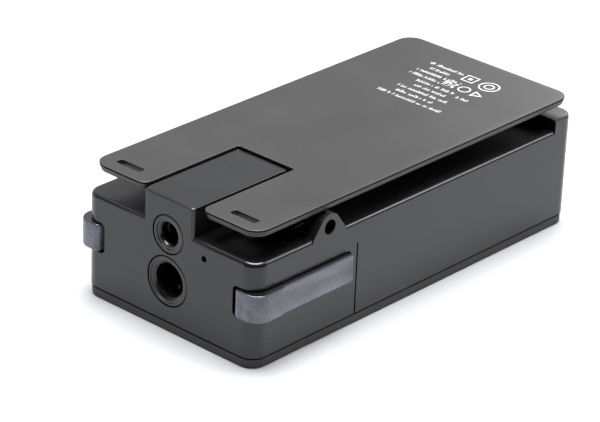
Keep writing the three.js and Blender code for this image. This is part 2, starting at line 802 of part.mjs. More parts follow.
// ---------------------------------------------------------------- electronics
// A box open towards the door, with a lug on each side of every screw boss that it nests against.
function innerTray() {
  const side = trayHalf - traySideWall;
  const lugs = screwPlaces.map(([x, y]) => {
    const ends = [trayHalf - 0.3, screwX - 0.3].map((reach) => reach * Math.sign(x));
    return box(Math.min(...ends), Math.max(...ends), y - 2.4, y + 2.4, cellZ - 1.2, cellZ + 1.2);
  });
  return cut(
    join(box(-trayHalf, trayHalf, trayStart, trayEnd, trayBottom, trayTop), ...lugs),
    box(-side, side, trayStart + trayWall, trayEnd - trayWall, trayBottom - 1, trayTop - trayRoof),
    ...screwPlaces.map(([x, y]) => rodZ(bossRadius + closeFit, cellZ - 2, cellZ + 2, x, y, 16)),
  );
}

// The left cell's button faces the jack end, and the right cell's the far end.
function cell(side) {
  const x = side * cellX;
  const start = side < 0 ? frontContactFace : backContactFace - cellLength;
  const can = side < 0 ? start + cellNub : start;
  const button = side < 0 ? start : can + cellLength - cellNub - 0.2;
  return join(
    rodY(cellRadius, can, can + cellLength - cellNub, x, cellZ, 32),
    rodY(2.75, button, button + cellNub + 0.2, x, cellZ, 16),
  );
}

function contactPlate(side) {
  const x = side * cellX;
  const y = side < 0 ? frontContactFace - closeFit - plateThickness : backContactFace + closeFit;
  return box(x - 3.4, x + 3.4, y, y + plateThickness, cellZ - 3.8, cellZ + 3.8);
}

// A conical coil that holds the cell's flat end.
function contactSpring(side) {
  const x = side * cellX;
  const wireRadius = 0.3;
  const clear = wireRadius + 0.1;
  const from = side < 0 ? trayEnd - trayWall - clear : trayStart + trayWall + clear;
  const to = side < 0 ? frontContactFace + cellLength + clear : backContactFace - cellLength - clear;
  const stepsPerTurn = 14;
  const steps = 3 * stepsPerTurn;
  const points = Array.from({ length: steps + 1 }, (_, i) => {
    const share = i / steps;
    const turn = (i / stepsPerTurn) * 2 * Math.PI;
    const radius = 3.6 - 1.9 * share;
    const y = from + (to - from) * share;
    return new THREE.Vector3(x + radius * Math.cos(turn), y, cellZ + radius * Math.sin(turn));
  });
  return wire(points, wireRadius, steps);
}

const mainBoard = () =>
  box(-trayHalf + 0.2, trayHalf - 0.2, trayStart + 0.5, trayEnd - 1.4, boardTop - boardThickness, boardTop);

function chip([x, alongBoard, half]) {
  const y = trayStart + alongBoard;
  return box(x - half, x + half, y - half, y + half, boardTop + faceGap, boardTop + faceGap + chipHeight);
}

const jackBoard = () => box(-9.8, 9.8, 3, jackBoardEnd, jackBoardTop - boardThickness, jackBoardTop);

// A flat ribbon from the jack board up to the main board.
function boardFlex() {
  const low = jackBoardTop + faceGap;
  const high = boardTop + faceGap;
  const thick = 0.15;
  const end = jackBoardEnd + 5;
  const profile = outline([
    [jackBoardEnd - 1.5, low],
    [jackBoardEnd + 0.7, low],
    [jackBoardEnd + 1.7, high],
    [end, high],
    [end, high + thick],
    [jackBoardEnd + 1.6, high + thick],
    [jackBoardEnd + 0.6, low + thick],
    [jackBoardEnd - 1.5, low + thick],
  ]);
  return prismX(profile, -4, 4);
}

const syncSwitch = () =>
  cut(
    box(plungerX - 1.6, plungerX + 1.4, switchFront, 7.4, jackBoardTop + faceGap, pinholeZ + switchHalfHeight),
    rodY(0.75, 3, switchFront + 1, plungerX, pinholeZ, 16),
  );

const syncPlunger = () => rodY(0.6, switchFront - 1, switchFront + 0.6, plungerX, pinholeZ, 16);

function rfShield() {
  const floor = jackBoardTop + faceGap;
  return slab(rectangle(-9.6, -4.8, 4, 12.6, 0.6), floor, floor + 1.7, 0.2, 2, 1);
}

// A bent metal strip on the far end of the tray.
function antenna() {
  const y = trayEnd + 0.35;
  const thick = 0.4;
  const strip = ([x0, x1, z0, z1]) => box(x0, x1, y, y + thick, z0, z1);
  const strips = [
    [-13, 13, 14.4, 16.6], // radiator
    [-13, -11, 7, 14.6], // short stub
    [-5, -3, 7, 14.6], // feed
    [-13, 4, 5.6, 7.2], // foot
  ];
  return join(...strips.map(strip));
}

// ---------------------------------------------------------------- controls behind the door
function buttonOutline([x, y], grow) {
  const halfX = buttonHalfWidth + grow;
  const halfY = buttonHalfLength + grow;
  return rectangle(x - halfX, x + halfX, y - halfY, y + halfY, 0.7);
}

function controlPanel() {
  return cut(
    slab(rectangle(-11.6, 11.6, 6.4, displayEnd + 2.4, 1), panelBottom, panelTop, 0, 3),
    box(-displayHalf, displayHalf, displayStart, displayEnd, 0, 8),
    ...Object.values(buttonPlaces).map((place) => slab(buttonOutline(place, 0.2), 0, 8, 0, 3)),
  );
}

function displayWindow() {
  const gap = 0.1;
  const half = displayHalf - gap;
  return box(-half, half, displayStart + gap, displayEnd - gap, panelBottom + gap, panelTop - gap);
}

const displayModule = () =>
  box(
    -displayHalf - 1,
    displayHalf + 1,
    displayStart - 0.6,
    displayEnd + 0.9,
    panelTop + 0.1,
    panelTop + 0.1 + displayThickness,
  );

const controlBoard = () => box(-11.4, 11.4, 6.6, displayEnd + 2.2, controlBoardBottom, controlBoardTop);

function button([x, y]) {
  const cap = slab(buttonOutline([x, y], 0), panelBottom - 0.2, panelTop - 0.1, 0.15, 3, 1);
  return join(cap, rodZ(0.8, panelTop - 0.3, panelTop + 0.3, x, y, 12));
}

// ---------------------------------------------------------------- assembly
piece("rear_shell", rearShell(), housingPlastic);
piece("front_frame", frontFrame(), housingPlastic);
screwPlaces.forEach((place, i) => piece(`frame_screw_${i + 1}`, frameScrew(place), bareSteel));

piece("battery_door", batteryDoor(), housingPlastic);
piece("door_hinge_pin", rodX(hingePin, -hingePinHalf, hingePinHalf, hingeY, hingeZ, 12), bareSteel);

for (const [word, side] of [
  ["left", -1],
  ["right", 1],
]) {
  piece(`latch_${word}`, mirrored(latch(), side), smokedPlastic);
  piece(`latch_spring_${word}`, mirrored(latchSpring(), side), bareSteel);
  piece(`clip_bracket_${word}`, mirrored(clipBracket(), side), bareSteel);
  piece(`clip_pin_${word}`, mirrored(clipPin(), side), bareSteel);
  piece(`clip_spring_${word}`, mirrored(clipSpring(), side), bareSteel);
}
piece("clip_plate", clipPlate(), clipPaint);

piece("guitar_jack_collar", collar(guitarBore, guitarChamfer, guitarCollar, guitarJackZ), jackPlastic);
piece("guitar_jack_body", guitarJackBody(), jackPlastic);
piece("guitar_jack_contact", guitarJackContact(), tin);
piece("mic_jack_collar", collar(micMouth, micChamfer, micCollar, micJackZ), jackPlastic);
piece("mic_jack_body", micJackBody(), jackPlastic);

piece("inner_tray", innerTray(), innerPlastic);
[-1, 1].forEach((side, i) => {
  piece(`battery_cell_${i + 1}`, cell(side), cellJacket);
  piece(`contact_plate_${i + 1}`, contactPlate(side), tin);
  piece(`contact_spring_${i + 1}`, contactSpring(side), tin);
});
piece("main_board", mainBoard(), circuitBoard);
for (const [name, place] of Object.entries(chipPlaces)) piece(name, chip(place), jackPlastic);
piece("jack_board", jackBoard(), circuitBoard);
piece("board_flex", boardFlex(), innerPlastic);
piece("sync_switch", syncSwitch(), tin);
piece("sync_plunger", syncPlunger(), jackPlastic);
piece("rf_shield", rfShield(), tin);
piece("antenna", antenna(), tin);
piece("control_panel", controlPanel(), innerPlastic);
piece("display_window", displayWindow(), displayGlass);
piece("display_module", displayModule(), jackPlastic);
piece("control_board", controlBoard(), circuitBoard);
for (const [name, place] of Object.entries(buttonPlaces)) piece(name, button(place), buttonRubber);

export default group;
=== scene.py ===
import bpy
import bmesh
import json
import math
import numpy as np
from mathutils import Matrix, Vector
from mathutils.geometry import tessellate_polygon


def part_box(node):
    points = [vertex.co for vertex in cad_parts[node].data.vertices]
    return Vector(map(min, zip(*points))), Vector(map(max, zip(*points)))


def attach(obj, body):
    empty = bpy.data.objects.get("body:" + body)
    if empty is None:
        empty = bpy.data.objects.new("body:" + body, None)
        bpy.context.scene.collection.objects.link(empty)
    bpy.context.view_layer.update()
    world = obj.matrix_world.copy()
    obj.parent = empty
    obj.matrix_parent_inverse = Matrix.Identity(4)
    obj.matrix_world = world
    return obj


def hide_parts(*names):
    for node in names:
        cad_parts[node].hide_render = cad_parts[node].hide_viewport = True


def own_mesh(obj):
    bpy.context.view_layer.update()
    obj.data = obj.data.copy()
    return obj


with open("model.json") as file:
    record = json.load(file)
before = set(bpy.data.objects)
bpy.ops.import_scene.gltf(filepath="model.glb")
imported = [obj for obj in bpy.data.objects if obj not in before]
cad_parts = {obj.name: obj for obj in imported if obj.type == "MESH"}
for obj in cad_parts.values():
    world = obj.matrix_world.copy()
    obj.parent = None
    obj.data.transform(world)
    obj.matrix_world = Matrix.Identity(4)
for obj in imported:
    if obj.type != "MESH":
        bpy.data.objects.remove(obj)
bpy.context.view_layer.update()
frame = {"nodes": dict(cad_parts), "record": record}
mm = 0.001  # sizes below are in millimetres and are turned to metres by this
bodyOf = {node: body for body, nodes in frame["record"]["behaviour"]["bodies"].items() for node in nodes}
print("frame loaded:", len(frame["nodes"]), "nodes")


def nodeBox(node):  # lowest and highest corner of a CAD node, in millimetres
    low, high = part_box(node)
    return np.array(low) / mm, np.array(high) / mm


shellLow, shellHigh = nodeBox("rear_shell")
jackEnd = shellLow[1]  # y of the face with the two jacks

# Angles in degrees, lengths in millimetres.
cameraSetting = {"azimuth": 41.604, "elevation": 25.876, "roll": 2.361, "lens": 173.25,
                 "distance": 527.76, "shiftRight": 6.523, "shiftUp": 2.807, "aim": (0, 0.375, 12)}


def makeCamera(s):
    # its place is the aim plus distance x back, less the shifts along right and up; back comes from azimuth and
    # elevation, and right and up are the level and upright directions turned by the roll
    a, e, r = (math.radians(s[key]) for key in ("azimuth", "elevation", "roll"))
    back = Vector((math.sin(a) * math.cos(e), -math.cos(a) * math.cos(e), math.sin(e)))
    level = Vector((math.cos(a), math.sin(a), 0))
    upright = back.cross(level)
    right = math.cos(r) * level + math.sin(r) * upright
    up = math.cos(r) * upright - math.sin(r) * level
    spot = Vector(s["aim"]) + s["distance"] * back - s["shiftRight"] * right - s["shiftUp"] * up
    camera = bpy.data.objects.new("camera", bpy.data.cameras.new("camera"))
    camera.matrix_world = Matrix.Translation(spot * mm) @ Matrix((right, up, back)).transposed().to_4x4()
    camera.data.lens = s["lens"]
    camera.data.sensor_width = 36
    camera.data.clip_start = 0.01
    camera.data.clip_end = 20
    bpy.context.collection.objects.link(camera)
    bpy.context.scene.camera = camera


makeCamera(cameraSetting)
print("camera placed")


# Meshes.
def gridFaces(rows, columns, closedRows=False, closedColumns=True):
    # face (i, j) joins grid points (i, j), (i, j+1), (i+1, j+1), (i+1, j), wrapping round where closed
    i = np.arange(rows if closedRows else rows - 1)[:, None]
    j = np.arange(columns if closedColumns else columns - 1)[None, :]
    nextI, nextJ = (i + 1) % rows, (j + 1) % columns
    corners = (i * columns + j, i * columns + nextJ, nextI * columns + nextJ, nextI * columns + j)
    return np.stack(corners, -1).reshape(-1, 4)


def joinParts(parts):  # several (points, faces) pairs as one pair
    points, faces, start = [], [], 0
    for somePoints, someFaces in parts:
        points.append(np.asarray(somePoints, float).reshape(-1, 3))
        faces += [tuple(int(k) + start for k in face) for face in someFaces]
        start += len(points[-1])
    return np.concatenate(points), faces


def finishMesh(name, mesh, smoothAngle):
    # shading is smooth except over edges whose faces meet at more than the angle
    mesh.shade_smooth()
    mesh.set_sharp_from_angle(angle=math.radians(smoothAngle))
    piece = bpy.data.objects.new(name, mesh)
    bpy.context.collection.objects.link(piece)
    return piece


def newPiece(name, points, faces, smoothAngle=35):
    # doubles are merged, which closes seams and poles, and then the faces are turned outwards
    mesh = bpy.data.meshes.new(name)
    mesh.from_pydata((np.asarray(points, float).reshape(-1, 3) * mm).tolist(), [], faces)
    work = bmesh.new()
    work.from_mesh(mesh)
    bmesh.ops.remove_doubles(work, verts=work.verts, dist=1e-6)
    bmesh.ops.recalc_face_normals(work, faces=work.faces)
    work.to_mesh(mesh)
    work.free()
    return finishMesh(name, mesh, smoothAngle)


def addBevel(piece, width, segments=2, angle=35):
    # edges whose faces meet at more than the angle are rounded over the width, in that many steps
    change = piece.modifiers.new("edges", "BEVEL")
    change.width = width * mm
    change.segments = segments
    change.limit_method = "ANGLE"
    change.angle_limit = math.radians(angle)
    change.harden_normals = True
    change.use_clamp_overlap = True


def place(piece, body, material, nodes=()):
    # gives the piece its one material and the body it rides, and hides the CAD nodes it replaces
    piece.data.materials.clear()
    piece.data.materials.append(material)
    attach(piece, body)
    if nodes:
        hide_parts(*nodes)
    return piece


def finishNode(node, material, bevel=0.08, segments=2, bevelAngle=35, smoothAngle=35):
    # the node's own solid with its doubles merged, its flat facets dissolved and its edges broken
    mesh = frame["nodes"][node].data.copy()
    work = bmesh.new()
    work.from_mesh(mesh)
    bmesh.ops.remove_doubles(work, verts=work.verts, dist=2e-6)
    bmesh.ops.dissolve_limit(work, angle_limit=math.radians(0.6), verts=work.verts, edges=work.edges)
    work.to_mesh(mesh)
    work.free()
    piece = finishMesh(node + "_fine", mesh, smoothAngle)
    if bevel:
        addBevel(piece, bevel, segments, bevelAngle)
    level = piece.modifiers.new("flats", "WEIGHTED_NORMAL")  # large flats keep their own normal
    level.keep_sharp = True
    return place(piece, bodyOf[node], material, [node])


def roundedOutline(corners, arcSteps=8):
    # each corner (x, y, radius) becomes an arc that touches both its sides, stepped evenly in angle
    corners = np.array(corners, float)
    at, radius = corners[:, :2], corners[:, 2]
    before, after = np.roll(at, 1, 0) - at, np.roll(at, -1, 0) - at
    before /= np.linalg.norm(before, axis=1, keepdims=True)
    after /= np.linalg.norm(after, axis=1, keepdims=True)
    half = np.arccos(np.clip((before * after).sum(1), -1, 1)) / 2
    middle = (before + after) / np.linalg.norm(before + after, axis=1, keepdims=True)
    centre = at + middle * (radius / np.sin(half))[:, None]
    reach = (radius / np.tan(half))[:, None]
    start, end = at + before * reach - centre, at + after * reach - centre
    first = np.arctan2(start[:, 1], start[:, 0])
    sweep = (np.arctan2(end[:, 1], end[:, 0]) - first + math.pi) % (2 * math.pi) - math.pi
    angle = first[:, None] + sweep[:, None] * np.linspace(0, 1, arcSteps + 1)
    arcs = centre[:, None] + radius[:, None, None] * np.stack((np.cos(angle), np.sin(angle)), -1)
    return arcs.reshape(-1, 2)


def rectangleOutline(x0, x1, y0, y1, radius, arcSteps=6):
    # the four corners of the lows and highs, each an arc of the radius
    return roundedOutline([(x0, y0, radius), (x1, y0, radius), (x1, y1, radius), (x0, y1, radius)], arcSteps)


def circleOutline(x, y, radius, steps=48):
    # the centre plus radius x (cosine, sine) of even turns
    turn = np.arange(steps) * 2 * math.pi / steps
    return np.stack((x + radius * np.cos(turn), y + radius * np.sin(turn)), -1)


def slabParts(loops):
    # each loop is an outline in x and y with a profile of (inset, z) from the upper face to the lower one;
    # the outline moves along its mitred left-hand normals by the inset, and flat caps close both faces
    parts, upper, lower, start = [], [], [], 0
    for outline, profile in loops:
        outline, profile = np.asarray(outline, float), np.asarray(profile, float)
        along = np.roll(outline, -1, 0) - outline
        along /= np.linalg.norm(along, axis=1, keepdims=True)
        left = np.stack((-along[:, 1], along[:, 0]), -1)
        earlier = np.roll(left, 1, 0)
        mitre = (left + earlier) / (1 + (left * earlier).sum(1, keepdims=True))
        flat = outline[None] + mitre[None] * profile[:, 0][:, None, None]
        height = np.broadcast_to(profile[:, 1][:, None, None], flat.shape[:2] + (1,))
        rows, columns = flat.shape[:2]
        parts.append((np.concatenate((flat, height), -1), gridFaces(rows, columns)))
        upper.append([(start + k, flat[0, k]) for k in range(columns)])
        lower.append([(start + (rows - 1) * columns + k, flat[-1, k]) for k in range(columns)])
        start += rows * columns
    points, faces = joinParts(parts)
    for rim in (upper, lower):
        number = [k for loop in rim for k, _ in loop]
        triangles = tessellate_polygon([[Vector((*xy, 0)) for _, xy in loop] for loop in rim])
        faces += [tuple(number[k] for k in triangle) for triangle in triangles]
    return points, faces


def edgeProfile(z0, z1, radius, steps=4, support=0.3):
    # quarter rounds of the radius at both edges, with a row a little further in that keeps the caps flat
    t = np.linspace(0, math.pi / 2, steps + 1)
    inset, drop = radius * (1 - np.sin(t)), radius * (1 - np.cos(t))
    top, bottom = np.stack((inset, z1 - drop), -1), np.stack((inset, z0 + drop), -1)[::-1]
    return np.concatenate(([(radius + support, z1)], top, bottom, [(radius + support, z0)]))


def blockParts(low, high, radius, corner):
    # a box between two corners: upright edges rounded by the corner radius, the others by the radius
    outline = rectangleOutline(low[0], high[0], low[1], high[1], corner)
    return slabParts([(outline, edgeProfile(low[2], high[2], radius, 3, min(0.2, corner / 2)))])


def barParts(centres, sizes, z0, z1):
    # upright bars: every centre (x, y) plus or minus half of its size, at both heights, as one array
    sign = np.array([(-1, -1), (1, -1), (1, 1), (-1, 1)]) / 2
    flat = np.asarray(centres, float)[:, None] + sign[None] * np.asarray(sizes, float)[:, None]
    low = np.concatenate((flat, np.full(flat.shape[:2] + (1,), z0)), -1)
    high = np.concatenate((flat, np.full(flat.shape[:2] + (1,), z1)), -1)
    points = np.concatenate((low, high), 1)
    corners = np.array([(3, 2, 1, 0), (4, 5, 6, 7), (0, 1, 5, 4), (1, 2, 6, 5), (2, 3, 7, 6), (3, 0, 4, 7)])
    faces = (np.arange(len(points))[:, None, None] * 8 + corners[None]).reshape(-1, 4)
    return points.reshape(-1, 3), faces


def turnedParts(profile, x, z, sides=96):
    # profile points (radius, y) are carried round an axis along Y through (x, z)
    profile = np.asarray(profile, float)
    turn = np.arange(sides) * 2 * math.pi / sides
    radius, y = profile[:, 0][:, None], profile[:, 1][:, None]
    points = np.stack((x + radius * np.cos(turn), y + 0 * turn, z + radius * np.sin(turn)), -1)
    return points, gridFaces(len(profile), sides)


def tubeParts(path, radius, axis, sides=10):
    # a circle in the plane of two normals to the path: one is path direction x axis, the other completes the set
    path = np.asarray(path, float)
    forward = np.gradient(path, axis=0)
    forward /= np.linalg.norm(forward, axis=1, keepdims=True)
    first = np.cross(forward, axis)
    first /= np.linalg.norm(first, axis=1, keepdims=True)
    second = np.cross(forward, first)
    turn = np.arange(sides) * 2 * math.pi / sides
    ring = first[:, None] * np.cos(turn)[None, :, None] + second[:, None] * np.sin(turn)[None, :, None]
    points = path[:, None] + radius * ring
    faces = [tuple(face) for face in gridFaces(len(path), sides).tolist()]
    last = (len(path) - 1) * sides
    return points, faces + [tuple(range(sides)), tuple(range(last, last + sides))]


print("mesh helpers ready")


# Materials.
def linear(hexColour):
    # sRGB to linear: x / 12.92 up to the knee, and ((x + 0.055) / 1.055) to the power 2.4 above it
    channels = np.array([int(hexColour[k:k + 2], 16) for k in (1, 3, 5)]) / 255
    curve = np.where(channels <= 0.04045, channels / 12.92, ((channels + 0.055) / 1.055) ** 2.4)
    return (*curve.tolist(), 1.0)


def addNode(tree, kind, links=None, **settings):
    # a setting named in0, in1 ... fills that socket, any other is a property; links join sockets by name
    node = tree.nodes.new(kind)
    for key, value in settings.items():
        if key.startswith("in") and key[2:].isdigit():
            node.inputs[int(key[2:])].default_value = value
        else:
            setattr(node, key, value)
    for key, source in (links or {}).items():
        tree.links.new(source, node.inputs[key])
    return node


def newMaterial(name, colour, roughness, **sockets):
    # a Principled shader; further sockets are set by their names, with _ for a space
    material = bpy.data.materials.new(name)
    material.use_nodes = True
    shader = material.node_tree.nodes["Principled BSDF"]
    shader.inputs["Base Color"].default_value = linear(colour)
    shader.inputs["Roughness"].default_value = roughness
    for key, value in sockets.items():
        shader.inputs[key.replace("_", " ")].default_value = value
    return material, material.node_tree, shader


def surface(name, s, **sockets):
    # soft patches mix two colours and two roughnesses, and a fine grain of real size gives the relief
    material, tree, shader = newMaterial(name, s["dark"], s["smooth"], **sockets)
    where = addNode(tree, "ShaderNodeTexCoord").outputs["Object"]
    patches = addNode(tree, "ShaderNodeTexNoise", {"Vector": where}, in2=1 / (s["patch"] * mm), in3=3.0)
    colour = addNode(tree, "ShaderNodeValToRGB", {"Fac": patches.outputs[0]})
    colour.color_ramp.elements[0].position = 0.35
    colour.color_ramp.elements[0].color = linear(s["dark"])
    colour.color_ramp.elements[1].position = 0.68
    colour.color_ramp.elements[1].color = linear(s["light"])
    roughness = addNode(tree, "ShaderNodeMapRange", {"Value": patches.outputs[0]},
                        in1=0.3, in2=0.7, in3=s["smooth"], in4=s["rough"])
    grain = addNode(tree, "ShaderNodeTexNoise", {"Vector": where}, in2=1 / (s["grain"] * mm), in3=2.0)
    relief = addNode(tree, "ShaderNodeBump", {"Height": grain.outputs[0]}, in0=1.0, in1=s["relief"] * mm)
    tree.links.new(colour.outputs[0], shader.inputs["Base Color"])
    tree.links.new(roughness.outputs[0], shader.inputs["Roughness"])
    tree.links.new(relief.outputs[0], shader.inputs["Normal"])
    return material


# spark-eroded black ABS: deep black with a soft, even grey sheen and faint handling marks
blackAbs = surface("sparkErodedBlackAbs", {"dark": "#0b0b0d", "light": "#0f0f11", "smooth": 0.22, "rough": 0.27,
                                           "patch": 9, "grain": 0.3, "relief": 0.0035}, IOR=1.52)
# the same plastic in the lower frame, slightly browner and duller where it is rubbed by the clothing
frameAbs = surface("rubbedBlackAbs", {"dark": "#1b191a", "light": "#242122", "smooth": 0.44, "rough": 0.55,
                                      "patch": 6, "grain": 0.25, "relief": 0.008}, IOR=1.52)
# satin powder coat on the steel plate: warm graphite grey with a fine orange-peel skin
powderCoat = surface("satinGraphitePowderCoat", {"dark": "#1b1b1a", "light": "#211f1e", "smooth": 0.36, "rough": 0.4,
                                                 "patch": 16, "grain": 0.45, "relief": 0.01}, IOR=1.5)
# polished black nylon of the jacks: darker and glossier than the housing
blackNylon = surface("polishedBlackNylon", {"dark": "#070708", "light": "#0a0a0b", "smooth": 0.24, "rough": 0.34,
                                            "patch": 3, "grain": 0.2, "relief": 0.003}, IOR=1.53)
# glass-filled grey ABS of the inner tray: matt with pale flow marks
trayAbs = surface("glassFilledGreyAbs", {"dark": "#2c2c2f", "light": "#3b3b3e", "smooth": 0.55, "rough": 0.7,
                                         "patch": 5, "grain": 0.18, "relief": 0.01}, IOR=1.52)
# black oxide on turned steel: near-black metal with a dull oily gleam
blackOxide = surface("blackOxideSteel", {"dark": "#1f1f22", "light": "#2f2f33", "smooth": 0.35, "rough": 0.5,
                                         "patch": 1.5, "grain": 0.08, "relief": 0.003}, Metallic=1.0)
# bright zinc plate on screws and brackets: bluish white metal, a little cloudy
zincPlate = surface("brightZincPlate", {"dark": "#8f9296", "light": "#b4b6b8", "smooth": 0.24, "rough": 0.4,
                                        "patch": 1.2, "grain": 0.06, "relief": 0.002}, Metallic=1.0)
# drawn spring wire: grey metal with lengthwise gloss
springSteel = surface("drawnSpringSteel", {"dark": "#77777a", "light": "#98989a", "smooth": 0.22, "rough": 0.34,
                                           "patch": 0.7, "grain": 0.05, "relief": 0.002}, Metallic=1.0)
# bright nickel on contacts and shields: warm mirror-like metal with stamping marks
nickelPlate = surface("stampedNickelPlate", {"dark": "#b9b4a8", "light": "#d8d4ca", "smooth": 0.14, "rough": 0.3,
                                             "patch": 1.8, "grain": 0.1, "relief": 0.002}, Metallic=1.0)
# epoxy mould compound of chips: charcoal, fine and dull
chipEpoxy = surface("mouldedEpoxyCompound", {"dark": "#1c1c1d", "light": "#262627", "smooth": 0.5, "rough": 0.65,
                                             "patch": 1, "grain": 0.06, "relief": 0.004}, IOR=1.55)
# silicone rubber keys: mid grey, soft and dull with a faint bloom
siliconeRubber = surface("mouldedSiliconeRubber", {"dark": "#505256", "light": "#5d5f63", "smooth": 0.6,
                                                   "rough": 0.78, "patch": 1.6, "grain": 0.09, "relief": 0.004},
                         IOR=1.41)
# screen-printed ink: off-white, thin and slightly uneven
whiteInk = surface("screenPrintedInk", {"dark": "#9c9c9a", "light": "#b0b0ad", "smooth": 0.5, "rough": 0.65,
                                        "patch": 0.9, "grain": 0.1, "relief": 0.002}, IOR=1.5)
# polyimide ribbon: amber film with a satin face
polyimide = surface("polyimideFilm", {"dark": "#7a4213", "light": "#935a1e", "smooth": 0.25, "rough": 0.36,
                                      "patch": 1.4, "grain": 0.12, "relief": 0.002}, IOR=1.7)


def smokedPolycarbonate():
    # tinted polycarbonate of the latches: milky blue-grey streaks within a smoky body, under a glossy skin; painted
    # shade darkens the latch above a height just under the top of its outer face
    s = {"body": "#33343f", "streak": "#6a6b78", "lip": "#0d0d15", "lipDepth": 0.15, "line": 0.14, "cloud": 2.2,
         "stretch": 5, "speck": 0.28, "relief": 0.004, "skin": 0.2, "smooth": 0.24, "rough": 0.34}
    material, tree, shader = newMaterial("smokedPolycarbonate", s["body"], 0.3, IOR=1.585, Coat_Weight=0.12,
                                         Coat_Roughness=0.12, Transmission_Weight=0.12)
    where = addNode(tree, "ShaderNodeTexCoord").outputs["Object"]
    drawn = addNode(tree, "ShaderNodeMapping", {"Vector": where}, in3=(1, 1 / s["stretch"], 1))
    cloud = addNode(tree, "ShaderNodeTexNoise", {"Vector": drawn.outputs[0]}, in2=1 / (s["cloud"] * mm), in3=4.0)
    colour = addNode(tree, "ShaderNodeValToRGB", {"Fac": cloud.outputs[0]})
    colour.color_ramp.elements[0].position = 0.3
    colour.color_ramp.elements[0].color = linear(s["body"])
    colour.color_ramp.elements[1].position = 0.7
    colour.color_ramp.elements[1].color = linear(s["streak"])
    pad = np.array([v.co for v in frame["nodes"]["latch_right"].data.vertices])
    pad = pad[pad[:, 0] > pad[:, 0].max() - s["skin"] * mm, 2]  # heights of the outer face
    # painted shade begins a little below the top of the outer face and fades in over a short height
    edge, line = pad.max() - s["lipDepth"] * mm, s["line"] * mm
    height = addNode(tree, "ShaderNodeSeparateXYZ", {0: where}).outputs[2]
    lip = addNode(tree, "ShaderNodeMapRange", {"Value": height}, in1=edge, in2=edge + line)
    shadedColour = addNode(tree, "ShaderNodeMix", {"Factor": lip.outputs[0], 6: colour.outputs[0]}, data_type="RGBA",
                   in7=linear(s["lip"]))  # painted shade: above that height the colour goes to near black, standing for the shade on the latch's upper rib
    speck = addNode(tree, "ShaderNodeTexNoise", {"Vector": where}, in2=1 / (s["speck"] * mm), in3=1.0)
    relief = addNode(tree, "ShaderNodeBump", {"Height": speck.outputs[0]}, in0=1.0, in1=s["relief"] * mm)
    roughness = addNode(tree, "ShaderNodeMapRange", {"Value": speck.outputs[0]}, in1=0.3, in2=0.7,
                        in3=s["smooth"], in4=s["rough"])
    tree.links.new(shadedColour.outputs["Result"], shader.inputs["Base Color"])
    tree.links.new(roughness.outputs[0], shader.inputs["Roughness"])
    tree.links.new(relief.outputs[0], shader.inputs["Normal"])
    return material


def solderMask():
    # etched board under green lacquer: darker where copper runs below, with tinned dots, and a wet gloss
    s = {"bare": "#0f3a22", "copper": "#1f6a3c", "tin": "#b9b8ae", "track": 1.3, "pad": 1.9, "padSize": 0.22}
    material, tree, shader = newMaterial("greenSolderMask", s["bare"], 0.35, IOR=1.5, Coat_Weight=0.4,
                                         Coat_Roughness=0.15)
    where = addNode(tree, "ShaderNodeTexCoord").outputs["Object"]
    track = addNode(tree, "ShaderNodeTexBrick", {"Vector": where}, in1=linear(s["copper"]), in2=linear(s["bare"]),
                    in3=linear(s["bare"]), in4=1 / (s["track"] * mm), in5=0.09, in8=0.9, in9=0.35)
    pad = addNode(tree, "ShaderNodeTexVoronoi", {"Vector": where}, in2=1 / (s["pad"] * mm), in8=0.35)
    dot = addNode(tree, "ShaderNodeMath", {0: pad.outputs["Distance"]}, operation="LESS_THAN", in1=s["padSize"])
    mixed = addNode(tree, "ShaderNodeMix", {"Factor": dot.outputs[0], 6: track.outputs["Color"]}, data_type="RGBA",
                    in7=linear(s["tin"]))
    relief = addNode(tree, "ShaderNodeBump", {"Height": track.outputs["Fac"]}, in0=1.0, in1=0.02 * mm)
    tree.links.new(mixed.outputs["Result"], shader.inputs["Base Color"])
    tree.links.new(dot.outputs[0], shader.inputs["Metallic"])
    tree.links.new(relief.outputs[0], shader.inputs["Normal"])
    return material


def cellFilm():
    # shrink film on a cell: metallic slate print with a copper band at the positive end and two pin lines
    s = {"slate": "#23272d", "copper": "#a5602c", "line": "#c8c9c6", "start": 0.74}
    material, tree, shader = newMaterial("printedShrinkFilm", s["slate"], 0.28, Metallic=0.35, Coat_Weight=0.5,
                                         Coat_Roughness=0.1)
    along = addNode(tree, "ShaderNodeAttribute", attribute_name="along").outputs["Fac"]
    band = addNode(tree, "ShaderNodeValToRGB", {"Fac": along})
    band.color_ramp.interpolation = "CONSTANT"
    ramp = band.color_ramp.elements
    ramp[0].color = linear(s["slate"])
    ramp[1].position = s["start"]
    ramp[1].color = linear(s["line"])
    for position, colour in ((0.06, "line"), (0.07, "slate"), (s["start"] + 0.012, "copper")):
        ramp.new(position).color = linear(s[colour])
    where = addNode(tree, "ShaderNodeTexCoord").outputs["Object"]
    wrinkle = addNode(tree, "ShaderNodeTexNoise", {"Vector": where}, in2=1 / (2.5 * mm), in3=3.0)
    relief = addNode(tree, "ShaderNodeBump", {"Height": wrinkle.outputs[0]}, in0=1.0, in1=0.02 * mm)
    tree.links.new(band.outputs[0], shader.inputs["Base Color"])
    tree.links.new(relief.outputs[0], shader.inputs["Normal"])
    return material


def clearAcrylic():
    # cast acrylic window: almost colourless, sharp reflections
    material, tree, shader = newMaterial("castAcrylic", "#e8eeee", 0.05, IOR=1.49, Transmission_Weight=1.0)
    where = addNode(tree, "ShaderNodeTexCoord").outputs["Object"]
    haze = addNode(tree, "ShaderNodeTexNoise", {"Vector": where}, in2=1 / (3 * mm), in3=2.0)
    roughness = addNode(tree, "ShaderNodeMapRange", {"Value": haze.outputs[0]}, in1=0.3, in2=0.7, in3=0.03, in4=0.09)
    tree.links.new(roughness.outputs[0], shader.inputs["Roughness"])
    return material


smokedPc = smokedPolycarbonate()
greenBoard = solderMask()
shrinkFilm = cellFilm()
acrylic = clearAcrylic()
